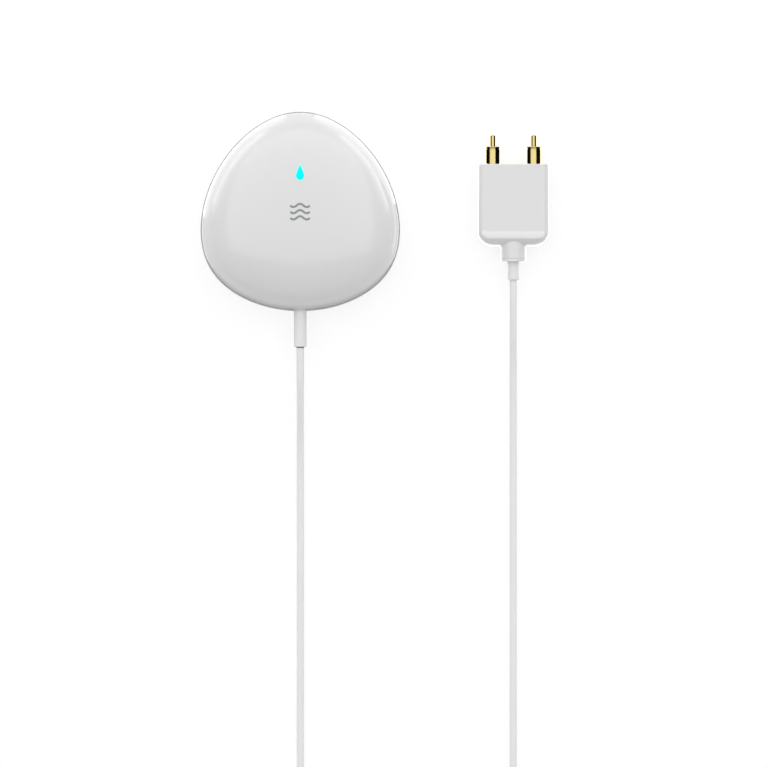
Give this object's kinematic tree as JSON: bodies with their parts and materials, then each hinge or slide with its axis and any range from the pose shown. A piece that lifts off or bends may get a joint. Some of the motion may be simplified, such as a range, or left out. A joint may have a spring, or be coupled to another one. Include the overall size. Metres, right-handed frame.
{
  "type": "water leak sensor",
  "caption": "Battery water leak sensor: pebble-shaped radio head with a droplet light and pairing button, and a probe with sprung gold contact pins on a thin cord.",
  "frame": {"origin": "middle of the head's back face, where it lies on a table or is stuck to a wall", "axes": "+Z out of the head's face, +Y towards the head's rounded point and the probe's pins, +X from the head to the probe"},
  "size_m": [0.1184, 0.2767, 0.022],
  "materials": {
    "housing_gloss": "polished white plastic",
    "housing_satin": "satin white plastic",
    "lens_cyan": "lit cyan light guide",
    "steel": "plated",
    "contact_nickel": "nickel plated",
    "contact_gold": "polished gold plating",
    "battery_sleeve": "plain sleeve",
    "board_green": "solder mask",
    "part_black": "moulded",
    "part_white": "moulded",
    "button_grey": "satin grey plastic",
    "cord_white": "smooth soft vinyl",
    "lead_red": "wire insulation",
    "lead_black": "wire insulation",
    "tie_grey": "soft band"
  },
  "bodies": {
    "housing": {"front_cover": "housing_gloss", "droplet_lens": "lens_cyan", "back_shell": "housing_satin", "battery_door": "housing_satin", "case_screw_1": "steel", "case_screw_2": "steel", "case_screw_3": "steel", "door_screw": "steel", "battery_1": "battery_sleeve", "battery_2": "battery_sleeve", "contact_negative": "contact_nickel", "contact_positive": "contact_nickel", "contact_bridge": "contact_nickel", "battery_spring_1": "contact_nickel", "battery_spring_2": "contact_nickel", "main_board": "board_green", "radio_module": "steel", "power_inductor": "part_black", "storage_capacitor": "steel", "status_led": "part_white", "lead_connector": "part_white", "pair_switch": "part_black", "head_boot": "cord_white", "lead_red": "lead_red", "lead_black": "lead_black", "cord_run_head": "cord_white", "cord_coil": "cord_white", "coil_tie": "tie_grey", "cord_run_probe": "cord_white", "probe_shell": "housing_gloss", "probe_cap": "housing_gloss", "pin_barrel_1": "contact_gold", "pin_barrel_2": "contact_gold", "pin_spring_1": "steel", "pin_spring_2": "steel", "probe_lead_1": "lead_red", "probe_lead_2": "lead_black", "probe_boot": "cord_white"},
    "plunger_1": {"pin_plunger_1": "contact_gold"},
    "plunger_2": {"pin_plunger_2": "contact_gold"},
    "button": {"pair_button": "button_grey"}
  },
  "joints": [
    {"name": "pin_1_press", "type": "slide", "parent": "housing", "child": "plunger_1", "axis": [0, -1, 0], "range_m": [0, 0.0025], "stiffness_N_per_m": 150, "springref_m": -0.002, "deforming": ["pin_spring_1"]},
    {"name": "pin_2_press", "type": "slide", "parent": "housing", "child": "plunger_2", "axis": [0, -1, 0], "range_m": [0, 0.0025], "stiffness_N_per_m": 150, "springref_m": -0.002, "deforming": ["pin_spring_2"]},
    {"name": "button_press", "type": "slide", "parent": "housing", "child": "button", "axis": [0, 0, 1], "range_m": [0, 0.0005], "stiffness_N_per_m": 800, "springref_m": -0.0005}
  ]
}
